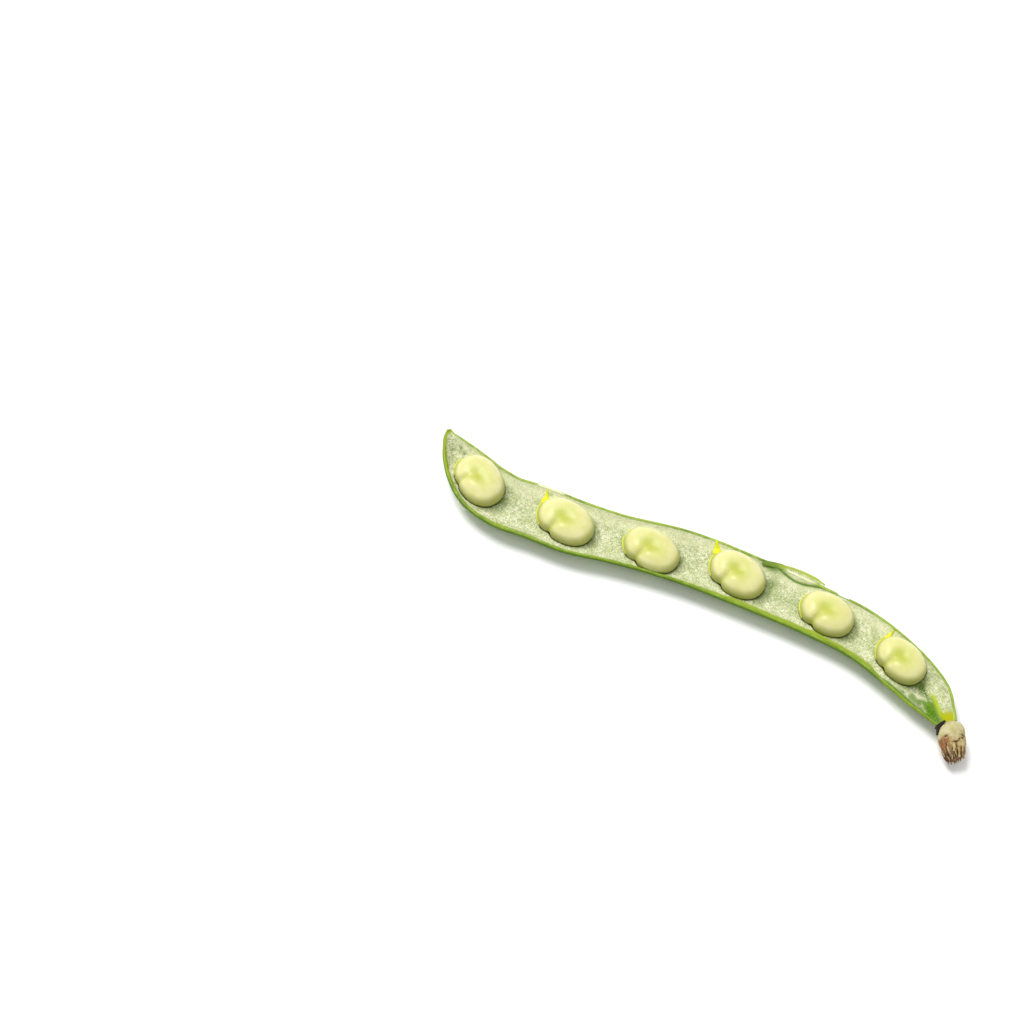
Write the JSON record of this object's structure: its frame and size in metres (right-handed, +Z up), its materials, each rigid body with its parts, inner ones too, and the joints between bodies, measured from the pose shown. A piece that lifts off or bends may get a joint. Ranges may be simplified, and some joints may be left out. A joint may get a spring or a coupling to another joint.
{
  "type": "broad bean pod half",
  "caption": "Opened half of a fresh broad bean pod with its large kidney-shaped green beans lying in the pale felted lining and a dried stalk stub at one end.",
  "frame": {"origin": "middle of the footprint, at the lowest points of the pod's underside", "axes": "+X along the pod from beak to stalk, +Y towards the seam that carries the beans, +Z up, out of the opened half"},
  "size_m": [0.2088, 0.0447, 0.013],
  "materials": {
    "pod": "satin green skin outside, pale felt inside",
    "bean": "smooth, satin, slightly translucent skin",
    "funicle": "moist, satin",
    "stalk": "dry, matt, wrinkled and fibrous",
    "calyx": "withered, matt, near black"
  },
  "bodies": {
    "root": {"bean_1": "bean", "bean_2": "bean", "bean_3": "bean", "bean_4": "bean", "bean_5": "bean", "bean_6": "bean", "calyx_remains": "calyx", "funicle_1": "funicle", "funicle_2": "funicle", "funicle_3": "funicle", "funicle_4": "funicle", "funicle_5": "funicle", "funicle_6": "funicle", "pod_shell": "pod", "stalk_stub": "stalk"}
  },
  "joints": []
}
